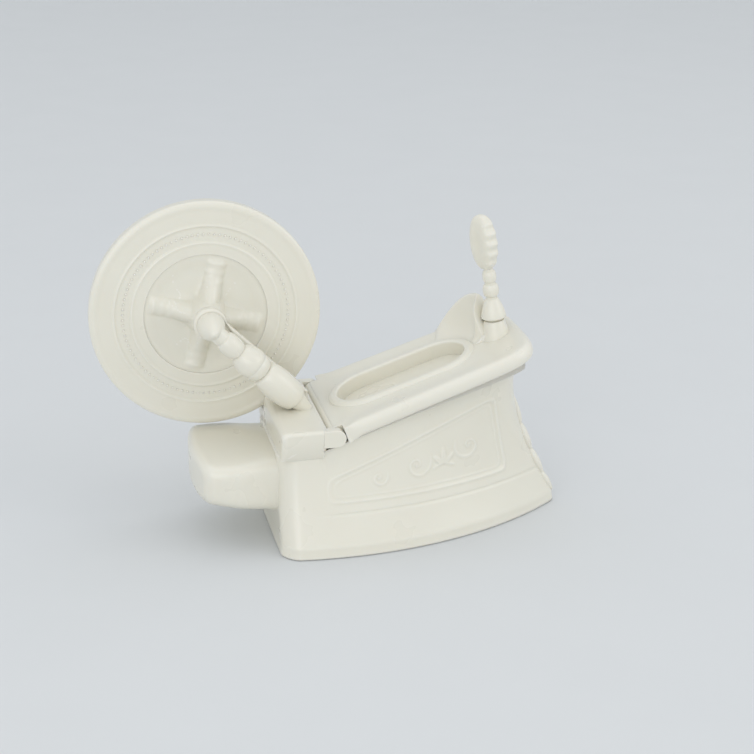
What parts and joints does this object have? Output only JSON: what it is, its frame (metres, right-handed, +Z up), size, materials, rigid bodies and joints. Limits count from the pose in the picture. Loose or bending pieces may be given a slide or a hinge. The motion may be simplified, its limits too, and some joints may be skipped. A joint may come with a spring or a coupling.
{
  "type": "sad iron",
  "caption": "Cream glazed box iron: flared pointed body, sloping hinged lid with oval recess, turning catch, heel tank, and a wheel on a leaning beaded stem.",
  "frame": {"origin": "on the flat face of the sole, halfway along it, on the centre plane", "axes": "+X to the nose, +Z up, the wheel's axle along Y with the beaded face of the stem towards -Y"},
  "size_m": [0.245, 0.1, 0.172],
  "materials": {
    "cream_glaze": "satin gloss cream glaze",
    "steel_fixings": "turned steel",
    "brass_bearing": "turned brass",
    "iron_fittings": "rough cast iron"
  },
  "bodies": {
    "iron": {"sole_plate": "cream_glaze", "body_shell": "cream_glaze", "cornice": "cream_glaze", "prow_crest": "cream_glaze", "catch_bar": "iron_fittings", "fire_grate": "iron_fittings", "sole_screws": "steel_fixings", "hinge_block": "cream_glaze", "block_dowels": "steel_fixings", "hinge_pin": "steel_fixings", "heel_tank": "cream_glaze", "tank_floor": "cream_glaze", "tank_bolts": "steel_fixings", "tank_nuts": "steel_fixings", "small_bead": "cream_glaze", "large_bead": "cream_glaze", "stem_bulb": "cream_glaze", "stem_foot": "cream_glaze", "stem_rod": "steel_fixings", "axle_boss": "cream_glaze", "axle": "steel_fixings", "stem_strut": "cream_glaze", "front_washer": "brass_bearing", "rear_washer": "steel_fixings", "axle_nut": "cream_glaze"},
    "wheel": {"wheel_disc": "cream_glaze", "wheel_spider": "cream_glaze", "arm_rivets": "cream_glaze", "wheel_bush": "brass_bearing"},
    "lid": {"lid_plate": "cream_glaze", "opening_collar": "cream_glaze", "recess_floor": "cream_glaze", "post_cone": "cream_glaze", "prow_wing": "cream_glaze"},
    "catch": {"catch_post": "cream_glaze", "catch_head": "cream_glaze", "catch_spindle": "steel_fixings", "catch_tongue": "iron_fittings", "catch_nut": "steel_fixings"}
  },
  "joints": [
    {"name": "wheel_spin", "type": "hinge", "parent": "iron", "child": "wheel", "pos_m": [-0.1055, 0, 0.1115], "axis": [0, 1, 0], "continuous": true},
    {"name": "lid_swing", "type": "hinge", "parent": "iron", "child": "lid", "pos_m": [-0.04863, 0, 0.06148], "axis": [0, -1, 0], "range_deg": [0, 55]},
    {"name": "catch_turn", "type": "hinge", "parent": "lid", "child": "catch", "pos_m": [0.0442, 0, 0.09757], "axis": [-0.1305, 0, 0.9914], "range_deg": [0, 75]}
  ]
}
